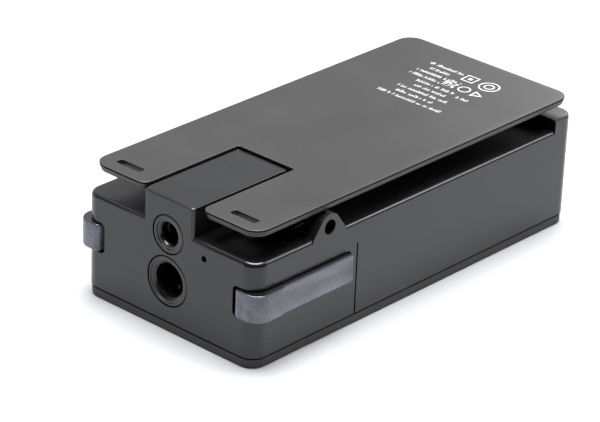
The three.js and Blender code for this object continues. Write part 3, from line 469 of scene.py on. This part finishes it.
# twisted-nematic display cell: silvery green-grey behind the window
displayCell = surface("reflectiveDisplayCell", {"dark": "#7c8a78", "light": "#86957f", "smooth": 0.3, "rough": 0.4,
                                                "patch": 4, "grain": 0.1, "relief": 0.001}, IOR=1.5)
displayInk = surface("darkenedCrystal", {"dark": "#1a211c", "light": "#232b25", "smooth": 0.3, "rough": 0.4,
                                         "patch": 1, "grain": 0.1, "relief": 0.001}, IOR=1.5)
print("materials ready")

# Housing.
housingEdges = {"shell": 0.14, "frame": 0.12, "door": 0.12}  # broken edges
finishNode("rear_shell", blackAbs, housingEdges["shell"])
finishNode("front_frame", frameAbs, housingEdges["frame"])
finishNode("battery_door", frameAbs, housingEdges["door"])
for screw in (1, 2, 3, 4):
    finishNode(f"frame_screw_{screw}", zincPlate, 0.05)

blockLip = {"half": 5.8, "front": 1.0, "rear": 23.2, "below": 0.12, "radius": 0.13, "corner": 0.3}


def makeBlockLip(s):
    # a bead of the housing's plastic on the block's upper edge: up one side, a quarter turn of the corner radius,
    # across, and back
    r = s["corner"]
    half, front, rear = s["half"], jackEnd + s["front"], jackEnd + s["rear"]
    t = np.linspace(0, math.pi / 2, 6)
    near = np.stack((r - half - r * np.cos(t), rear - r + r * np.sin(t)), -1)
    far = near[::-1] * (-1, 1)
    path = np.concatenate(([(-half, front)], near, far, [(half, front)]))
    path = np.column_stack((path, np.full(len(path), shellHigh[2] - s["below"])))
    place(newPiece("block_lip", *tubeParts(path, s["radius"], (0, 0, 1)), 60), "housing", blackAbs)


makeBlockLip(blockLip)
finishNode("door_hinge_pin", springSteel, 0.08)

# Grip ribs on the door's outer face, for the thumb that pulls it open.
gripRibs = {"count": 7, "pitch": 1.25, "width": 0.5, "length": 13, "start": 3.2, "proud": 0.16, "round": 0.12}


def doorGrip(s):
    # rib k stands k pitches past the start, and ends proud of the door's outer face
    low, high = nodeBox("battery_door")
    parts = []
    for k in range(s["count"]):
        y = low[1] + s["start"] + k * s["pitch"]
        corner = (s["length"] / 2, s["width"] / 2)
        bottom = low[2] - s["proud"]
        parts.append(blockParts((-corner[0], y - corner[1], bottom), (corner[0], y + corner[1], low[2] + 0.2),
                                s["round"], s["width"] / 2 - 0.02))
    place(newPiece("door_grip", *joinParts(parts)), "door", frameAbs)


doorGrip(gripRibs)
print("housing done")

# Belt clip: a stamped plate whose side leans in below a fine scored line.
clipPlate = {"corner": 3.2, "prongCorner": 1.9, "notchHalf": 6.75, "notchEnd": 24.35, "notchCorner": 0.4,
             "slotLength": 5.8, "slotWidth": 1.5, "slotX": 13.8, "slotY": 4.4, "slotCorner": 0.3}
plateEdge = [(1.2, 0), (0.12, 0), (0.06, 0.015), (0.02, 0.045), (0, 0.08), (0, 0.1), (0.3, 0.13),
             (0.3, 0.32), (0, 0.35), (0.01, 0.4), (0.24, 1.14), (0.28, 1.27), (0.36, 1.37), (0.5, 1.4),
             (1.4, 1.4)]  # (inset, drop) from the upper face to the lower one


def makeClipPlate(s):
    # the notched outline carried down the edge profile, with both strap slots as inner loops
    low, high = nodeBox("clip_plate")
    notchEnd = jackEnd + s["notchEnd"]
    outer = roundedOutline([
        (low[0], low[1], s["corner"]), (-s["notchHalf"], low[1], s["prongCorner"]),
        (-s["notchHalf"], notchEnd, s["notchCorner"]), (s["notchHalf"], notchEnd, s["notchCorner"]),
        (s["notchHalf"], low[1], s["prongCorner"]), (high[0], low[1], s["corner"]),
        (high[0], high[1], s["corner"]), (low[0], high[1], s["corner"])], 10)
    edge = [(inset, high[2] - drop) for inset, drop in plateEdge]
    loops = [(outer, edge)]
    halfLength, halfSlot = s["slotLength"] / 2, s["slotWidth"] / 2
    for x in (-s["slotX"], s["slotX"]):
        y = jackEnd + s["slotY"]
        slot = rectangleOutline(x - halfLength, x + halfLength, y - halfSlot, y + halfSlot, s["slotCorner"])
        loops.append((slot[::-1], edgeProfile(low[2], high[2], 0.12)))
    place(newPiece("clip_plate_fine", *slabParts(loops)), "clip", powderCoat, ["clip_plate"])


makeClipPlate(clipPlate)

# Print on the clip: ranks of plain strokes and three plain figures, no letters.
printBlock = {"first": 18.5, "pitch": 2.08, "ink": 0.012, "stroke": 0.14, "seed": 7,
              "rows": [(-7.6, 8.3), (-4.4, 4.5), (-5.7, 6.2), (-3.9, 4.7), (-5.2, 4.6), (-8.1, -0.6), (-8.1, -0.7),
                       (-6.6, -1.2), (-8.2, 0.0)],
              "step": (0.25, 0.38), "most": 90, "wordGap": 0.5, "wordShare": 0.14, "tall": [0.6, 0.75, 1.0],
              "barShift": (0.12, 0.25), "bar": 0.26, "code": (1.1, 30.6, 3.0, 11), "note": (5.6, 8.7, 26.0),
              "target": (7.1, 34.6, 2.1, 0.28),
              "square": (2.3, 34.9, 1.4, 0.24), "circle": (4.6, 30.3, 1.3, 0.26), "triangle": (7.6, 30.0, 1.5, 0.3)}


def clipPrint(s):
    # along each row the strokes stand at running sums of seeded steps; about one step in seven adds a word gap
    top = nodeBox("clip_plate")[1][2]
    low, high = top - 0.01, top + s["ink"]
    flat = [(0, high), (0, low)]
    draw = np.random.default_rng(s["seed"])
    centres, sizes = [], []
    rows = [(start, end, s["first"] + n * s["pitch"]) for n, (start, end) in enumerate(s["rows"])]
    for start, end, foot in rows + [s["note"]]:
        steps = draw.uniform(*s["step"], s["most"])
        x = start + np.cumsum(steps + s["wordGap"] * (draw.random(s["most"]) < s["wordShare"]))
        x = x[x < end]
        tall = draw.choice(s["tall"], len(x))
        y = foot + tall / 2
        centres.append(np.stack((x, y), -1))
        sizes.append(np.stack((np.full(len(x), s["stroke"]), tall), -1))
        cross = slice(None, None, 2)  # every other stroke carries a short bar
        aside, reach = s["barShift"]
        centres.append(np.stack((x[cross] + aside, y[cross] + draw.uniform(-reach, reach, len(x[cross]))), -1))
        sizes.append(np.tile((s["bar"], s["stroke"]), (len(x[cross]), 1)))
    x, y, side, count = s["code"]  # a square of seeded dots
    cell = side / count
    grid = (np.argwhere(draw.random((count, count)) < 0.5) - (count - 1) / 2) * cell
    centres.append(grid + (x, y))
    sizes.append(np.full((len(grid), 2), 0.86 * cell))
    x, y, half, thick = s["square"]
    centres.append([(x, y)])
    sizes.append([(0.6 * half, 0.6 * half)])
    parts = [barParts(np.concatenate(centres), np.concatenate(sizes), low, high)]
    outer, inner = (rectangleOutline(x - h, x + h, y - h, y + h, 0.05, 1) for h in (half, half - thick))
    parts.append(slabParts([(outer, flat), (inner[::-1], flat)]))
    x, y, radius, thick = s["target"]
    rings = [(x, y, radius, thick), (x, y, 0.52 * radius, thick), s["circle"]]
    for x, y, radius, thick in rings:
        outer, inner = circleOutline(x, y, radius), circleOutline(x, y, radius - thick)
        parts.append(slabParts([(outer, flat), (inner[::-1], flat)]))
    x, y, reach, thick = s["triangle"]
    outer, inner = (roundedOutline([(x + r * math.cos(a), y + r * math.sin(a), 0.1) for a in
                                    (-2 * math.pi / 3, 0, 2 * math.pi / 3)], 3) for r in (reach, reach - 2 * thick))
    parts.append(slabParts([(outer, flat), (inner[::-1], flat)]))
    place(newPiece("clip_print", *joinParts(parts)), "clip", whiteInk)


clipPrint(printBlock)

pivot = {"coil": 1.7, "wire": 0.3, "pitch": 0.95, "turns": 4.5, "startX": 9.8, "lift": 9.5, "bend": 0.4, "sag": 0.3,
         "gap": 0.05, "foot": 2.6}


def clipSprings(s):
    # a coil round the pin, x growing evenly with the turn, with one leg under the prong and a short one below
    joint = frame["record"]["behaviour"]["joints"]
    hinge = next(j for j in joint if j["name"] == "clip_hinge")
    _, y, z = np.array(hinge["pos_m"]) / mm
    under = nodeBox("clip_plate")[0][2] - s["wire"] - s["gap"]
    turn = math.pi / 2 - np.linspace(0, s["turns"] * 2 * math.pi, 160)
    x = s["startX"] + s["pitch"] * np.linspace(0, s["turns"], 160)
    coil = np.stack((x, y + s["coil"] * np.cos(turn), z + s["coil"] * np.sin(turn)), -1)
    t = np.linspace(0, 1, 30)[:, None]
    ends = np.array([(s["startX"], y - s["lift"], under),
                     (s["startX"], y - s["lift"] * s["bend"], under - s["sag"]), coil[0]])
    lift = (1 - t) ** 2 * ends[0] + 2 * t * (1 - t) * ends[1] + t ** 2 * ends[2]
    rest = coil[-1] + t * np.array([(0, -s["foot"], 0)])
    path = np.concatenate((lift[:-1], coil, rest[1:]))
    for word, side in (("left", -1), ("right", 1)):
        points, faces = tubeParts(path, s["wire"], (1, 0, 0))
        piece = newPiece(f"clip_spring_{word}_fine", points * (side, 1, 1), faces, 60)
        place(piece, "clip", springSteel, [f"clip_spring_{word}"])
        finishNode(f"clip_bracket_{word}", blackOxide, 0.06)
        finishNode(f"clip_pin_{word}", blackOxide, 0.15)


clipSprings(pivot)
print("belt clip done")

# Squeeze latches and their springs.
latchSpring = {"coil": 1.15, "wire": 0.18, "turns": 5, "stop": 15.4, "length": 3.6, "travel": 0.75, "y": 17.5,
               "z": 12.15}


def makeLatches(s):
    # the springs are drawn at rest
    turn = np.linspace(0, s["turns"] * 2 * math.pi, 200)
    gap = s["wire"] + 0.03
    x = np.interp(turn, [0, turn[-1]], [s["stop"] + gap, s["stop"] + s["length"] - gap])
    y, z = jackEnd + s["y"] + s["coil"] * np.cos(turn), s["z"] + s["coil"] * np.sin(turn)
    points, faces = tubeParts(np.stack((x, y, z), -1), s["wire"], (1, 0, 0), 8)
    for word, side in (("left", -1), ("right", 1)):
        finishNode(f"latch_{word}", smokedPc, 0.11)
        piece = newPiece(f"latch_spring_{word}_fine", points * (side, 1, 1), faces, 60)
        place(piece, bodyOf[f"latch_spring_{word}"], springSteel, [f"latch_spring_{word}"])
        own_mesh(piece)


makeLatches(latchSpring)
print("latches done")

# Jacks: turned collars with eased rims and stepped mouths.
collars = {
    "guitar_jack_collar": {"bore": 3.2, "rim": 0.28, "step": 0.95, "stepDepth": 0.12, "mouth": 0.5,
                           "mouthDepth": 0.55},
    "mic_jack_collar": {"bore": 2.05, "rim": 0.25, "step": 0.75, "stepDepth": 0.14, "mouth": 0.32,
                        "mouthDepth": 0.5},
}


def makeCollar(node, s):
    # profile in radius and depth: bore, cone of the mouth, shallow step, flat ring, quarter-round rim, outside;
    # its inner corners are eased by a few hundredths
    low, high = nodeBox(node)
    outer = (high[0] - low[0]) / 2
    front, back = low[1], high[1]
    t = np.linspace(0, math.pi / 2, 6)
    rim = np.stack((outer - s["rim"] * (1 - np.sin(t)), front + s["rim"] * (1 - np.cos(t))), -1)
    bore, mouth, step = s["bore"], s["bore"] + s["mouth"], s["bore"] + s["step"]
    throat, ledge = front + s["mouthDepth"], front + s["stepDepth"]
    inside = [(bore, back), (bore, throat + 0.1), (bore + 0.03, throat), (mouth, ledge + 0.02),
              (mouth + 0.06, ledge), (step - 0.03, ledge), (step, front + 0.02), (step + 0.04, front)]
    profile = np.concatenate((inside, rim, [(outer, back), (bore, back)]))
    points, faces = turnedParts(profile, 0, (low[2] + high[2]) / 2)
    place(newPiece(node + "_fine", points, faces.tolist(), 30), "housing", blackNylon, [node])


for node, setting in collars.items():
    makeCollar(node, setting)
finishNode("guitar_jack_body", blackNylon, 0.06)
finishNode("mic_jack_body", blackNylon, 0.06)
finishNode("guitar_jack_contact", nickelPlate, 0.3, 4)
print("jacks done")

# Cells in their tray: a crimped can, and a film sleeve rolled over its shoulders.
cellSetting = {"nub": 2.75, "nubHeight": 1.0, "film": 0.12, "shoulder": 0.55}


def makeCell(number, s):
    # can and film are profiles of (radius, distance from the plain end) turned round the cell's axis; the film
    # also stores each point's share of the length, for its printed bands
    node = f"battery_cell_{number}"
    low, high = nodeBox(node)
    x, z, radius = (low[0] + high[0]) / 2, (low[2] + high[2]) / 2, (high[0] - low[0]) / 2
    length = high[1] - low[1]
    can, r = radius - s["film"], s["shoulder"]
    body = length - s["nubHeight"]
    t = np.linspace(0, math.pi / 2, 6)
    foot = np.stack((can - r + r * np.sin(t), r - r * np.cos(t)), -1)
    shoulder = np.stack((can - r + r * np.cos(t), body - r + r * np.sin(t)), -1)
    button = np.stack((s["nub"] - 0.3 + 0.3 * np.cos(t), length - 0.3 + 0.3 * np.sin(t)), -1)
    profile = np.concatenate(([(0, 0.15), (can * 0.6, 0.15), (can * 0.65, 0)], foot, shoulder,
                              [(can * 0.62, body), (can * 0.6, body - 0.2), (s["nub"] + 0.2, body - 0.2),
                               (s["nub"], body)], button, [(0, length)]))
    sleeve = np.array([(can - r, -0.001 + s["film"]), (can, r), (can, body - r), (can - r * 0.6, body - s["film"]),
                       (can - r * 0.6, body), (can, body - 0.1), (radius, body - r - 0.2), (radius, r + 0.2),
                       (can, 0.1), (can - r, 0.0), (can - r, -0.001 + s["film"])])
    flip = number == 1  # its positive end faces the jacks
    for word, shape, material in (("can", profile, nickelPlate), ("film", sleeve, shrinkFilm)):
        y = high[1] - shape[:, 1] if flip else low[1] + shape[:, 1]
        points, faces = turnedParts(np.stack((shape[:, 0], y), -1), x, z)
        piece = newPiece(f"cell_{number}_{word}", points, faces.tolist())
        place(piece, "housing", material,
              [node] if word == "can" else ())
    along = piece.data.attributes.new("along", "FLOAT", "POINT")
    places = np.empty(len(piece.data.vertices) * 3)
    piece.data.vertices.foreach_get("co", places)
    share = (places[1::3] / mm - low[1]) / length
    along.data.foreach_set("value", 1 - share if flip else share)


for number in (1, 2):
    makeCell(number, cellSetting)

contactCoil = {"wide": 3.6, "narrow": 1.7, "wire": 0.3, "turns": 3.5}


def contactSprings(s):
    # a cone-shaped coil: radius and y change evenly with the turn
    for number, wideAtLow in ((1, False), (2, True)):
        low, high = nodeBox(f"contact_spring_{number}")
        cellLow, cellHigh = nodeBox(f"battery_cell_{number}")
        x, z = (cellLow[0] + cellHigh[0]) / 2, (cellLow[2] + cellHigh[2]) / 2
        ends = (low[1] + s["wire"], high[1] - s["wire"])
        t = np.linspace(0, 1, 160)
        radius = s["wide"] + (s["narrow"] - s["wide"]) * t
        y = ends[0] + (ends[1] - ends[0]) * t if wideAtLow else ends[1] + (ends[0] - ends[1]) * t
        turn = t * s["turns"] * 2 * math.pi
        path = np.stack((x + radius * np.cos(turn), y, z + radius * np.sin(turn)), -1)
        piece = newPiece(f"contact_spring_{number}_fine", *tubeParts(path, s["wire"], (0, 1, 0), 10), 60)
        place(piece, "housing", nickelPlate, [f"contact_spring_{number}"])
        finishNode(f"contact_plate_{number}", nickelPlate, 0.08)


contactSprings(contactCoil)
finishNode("inner_tray", trayAbs, 0.1)
print("cells and tray done")

# Boards and what is soldered on them.
for node in ("main_board", "jack_board", "control_board"):
    finishNode(node, greenBoard, 0.05)
for node in ("radio_chip", "audio_chip"):
    finishNode(node, chipEpoxy, 0.06)
finishNode("board_flex", polyimide, 0.02)
finishNode("sync_switch", nickelPlate, 0.05)
finishNode("sync_plunger", blackNylon, 0.08)
finishNode("rf_shield", nickelPlate, 0.04)
finishNode("antenna", nickelPlate, 0.05)

smallParts = {"rows": 6, "columns": 13, "length": 1.1, "width": 0.6, "height": 0.42, "cap": 0.22, "margin": 1.6,
              "start": 16, "over": 0.02, "bevel": 0.05, "capBevel": 0.04}


def boardParts(s):
    # an even grid that starts a stated length past the board's low end; each body has a tinned tip at both ends
    low, high = nodeBox("main_board")
    x, y = np.meshgrid(np.linspace(low[0] + s["margin"], high[0] - s["margin"], s["rows"]),
                       np.linspace(low[1] + s["margin"] + s["start"], high[1] - s["margin"], s["columns"]))
    centres = np.stack((x.ravel(), y.ravel()), -1)
    size = np.tile((s["width"], s["length"]), (len(centres), 1))
    seat = high[2] + s["over"]
    body = newPiece("board_parts", *barParts(centres, size, seat, seat + s["height"]))
    addBevel(body, s["bevel"])
    place(body, "housing", chipEpoxy)
    ends = np.concatenate((centres - (0, s["length"] / 2), centres + (0, s["length"] / 2)))
    tips = np.tile((s["width"] + 2 * s["over"], s["cap"]), (len(ends), 1))
    caps = newPiece("board_part_ends", *barParts(ends, tips, seat - s["over"], seat + s["height"] + s["over"]))
    addBevel(caps, s["capBevel"])
    place(caps, "housing", nickelPlate)


boardParts(smallParts)
print("boards done")

# Controls behind the door.
finishNode("control_panel", trayAbs, 0.08)
finishNode("display_module", displayCell, 0.08)
finishNode("display_window", acrylic, 0.05)
for node in ("set_button", "power_button"):
    finishNode(node, siliconeRubber, 0.1, 3)

displayMarks = {"bar": 0.55, "gap": 0.35, "depth": 0.03, "levels": 14, "short": 0.5, "rise": 0.05,
                "inset": (2.2, 2.0), "digitPitch": 2.9}


def displaySegments(s):
    # an outline of a cell with three level bars, a rank of level blocks, and three digits of seven bars
    low, high = nodeBox("display_module")
    x0, y0, z = low[0] + s["inset"][0], low[1] + s["inset"][1], low[2]
    level = np.arange(s["levels"])
    blocks = np.stack((x0 + level * (s["bar"] + s["gap"]) + 0.4, np.full(len(level), y0 + 0.5)), -1)
    sizes = np.stack((np.full(len(level), s["bar"]), s["short"] + s["rise"] * level), -1)
    one = np.array([(0, 0, 1.3, 0.3), (0, 1.6, 1.3, 0.3), (0, 3.2, 1.3, 0.3), (-0.8, 0.8, 0.3, 1.2),
                    (0.8, 0.8, 0.3, 1.2), (-0.8, 2.4, 0.3, 1.2), (0.8, 2.4, 0.3, 1.2)])
    digit = np.concatenate([one + (x0 + 1.3 + s["digitPitch"] * k, y0 + 2.6, 0, 0) for k in range(3)])
    cell = np.array([(0, 0, 3.0, 0.2), (0, 1.4, 3.0, 0.2), (-1.4, 0.7, 0.2, 1.4), (1.4, 0.7, 0.2, 1.4),
                     (-0.8, 0.7, 0.6, 0.9), (0, 0.7, 0.6, 0.9), (0.8, 0.7, 0.6, 0.9)])
    cell = cell + (high[0] - 3.6, y0 + 4.4, 0, 0)
    centres = np.concatenate((blocks, digit[:, :2], cell[:, :2]))
    widths = np.concatenate((sizes, digit[:, 2:], cell[:, 2:]))
    piece = newPiece("display_segments", *barParts(centres, widths, z - s["depth"], z + 0.01))
    place(piece, "housing", displayInk)


displaySegments(displayMarks)

keyMarks = {"height": 0.02, "ring": 0.85, "thick": 0.16}


def keySigns(s):
    # a ring with a bar on the power key, and two arrow heads on the set key
    for node, body in (("power_button", "power_key"), ("set_button", "set_key")):
        low, high = nodeBox(node)
        x, y = (low[0] + high[0]) / 2, (low[1] + high[1]) / 2
        flat = [(0, low[2] + 0.01), (0, low[2] - s["height"])]
        if node == "power_button":
            ring = [(circleOutline(x, y, s["ring"]), flat), (circleOutline(x, y, s["ring"] - s["thick"])[::-1], flat)]
            parts = [slabParts(ring), barParts([(x, y - s["ring"])], [(0.22, 0.9)], flat[1][1], flat[0][1])]
        else:
            heads = [[(x - 0.5 * k, y + 0.2 * k, 0.05), (x, y + 0.9 * k, 0.05), (x + 0.5 * k, y + 0.2 * k, 0.05)]
                     for k in (-1, 1)]
            parts = [slabParts([(roundedOutline(head, 2)[::-1], flat)]) for head in heads]
        place(newPiece(node + "_sign", *joinParts(parts)), body, whiteInk)


keySigns(keyMarks)
print("controls done")

# Studio: a plain floor, a dome brighter behind the object than before it, a ceiling light and two soft lamps.
studio = {"tint": "#f8faff", "bright": 0.7, "dark": 0.06, "towards": (-0.62, 0.7, 0.25), "edgeLow": -0.25,
          "edgeHigh": 0.55, "ceiling": 11.5, "ceilingAngle": 50, "ceilingTilt": (-0.06, 0.06, 1), "aim": (0, 0, 10)}
lamps = {
    "back_card": {"power": 0.16, "size": 150, "place": (-110, 330, 170)},
    "rim_strip": {"power": 1.3, "size": 200, "place": (320, 500, 430)},
}
floorPaper = {"reach": 3000, "paper": "#999b9d", "matt": 0.85, "grain": 0.5, "tooth": 0.004}


def rolledPaper(s):
    # plain uncoated paper off a roll: one even grey that the ceiling light lifts to pale, with a fine tooth
    material, tree, shader = newMaterial("plainRolledPaper", s["paper"], s["matt"])
    where = addNode(tree, "ShaderNodeTexCoord").outputs["Object"]
    grain = addNode(tree, "ShaderNodeTexNoise", {"Vector": where}, in2=1 / (s["grain"] * mm))
    relief = addNode(tree, "ShaderNodeBump", {"Height": grain.outputs[0]}, in0=1.0, in1=s["tooth"] * mm)
    tree.links.new(relief.outputs[0], shader.inputs["Normal"])
    return material


def makeStudio(s):
    # the dome's strength rises smoothly from dark to bright with the cosine of a direction to the bright side,
    # and each lamp faces the aim
    r = floorPaper["reach"]
    floor = newPiece("floor", [(-r, -r, 0), (r, -r, 0), (r, r, 0), (-r, r, 0)], [(0, 1, 2, 3)])
    floor.data.materials.append(rolledPaper(floorPaper))
    world = bpy.data.worlds.new("studioDome")
    bpy.context.scene.world = world
    world.use_nodes = True
    tree = world.node_tree
    where = addNode(tree, "ShaderNodeTexCoord").outputs["Generated"]
    facing = addNode(tree, "ShaderNodeVectorMath", {0: where}, operation="DOT_PRODUCT",
                     in1=tuple(Vector(s["towards"]).normalized()))
    share = addNode(tree, "ShaderNodeMapRange", {"Value": facing.outputs["Value"]}, interpolation_type="SMOOTHSTEP",
                    in1=s["edgeLow"], in2=s["edgeHigh"], in3=s["dark"], in4=s["bright"])
    tree.links.new(share.outputs[0], tree.nodes["Background"].inputs["Strength"])
    tree.nodes["Background"].inputs["Color"].default_value = linear(s["tint"])
    ceiling = bpy.data.objects.new("ceiling", bpy.data.lights.new("ceiling", "SUN"))  # a wide, even ceiling light
    ceiling.data.energy = s["ceiling"]
    ceiling.data.angle = math.radians(s["ceilingAngle"])
    ceiling.rotation_euler = Vector(s["ceilingTilt"]).to_track_quat("Z", "Y").to_euler()
    bpy.context.collection.objects.link(ceiling)
    for name, lamp in lamps.items():
        light = bpy.data.objects.new(name, bpy.data.lights.new(name, "AREA"))
        light.data.energy = lamp["power"]
        light.data.size = lamp["size"] * mm
        light.location = Vector(lamp["place"]) * mm
        light.rotation_euler = (Vector(s["aim"]) * mm - light.location).to_track_quat("-Z", "Y").to_euler()
        light.visible_camera = False
        bpy.context.collection.objects.link(light)
    bpy.context.scene.view_settings.view_transform = "Standard"


makeStudio(studio)
print("studio done")
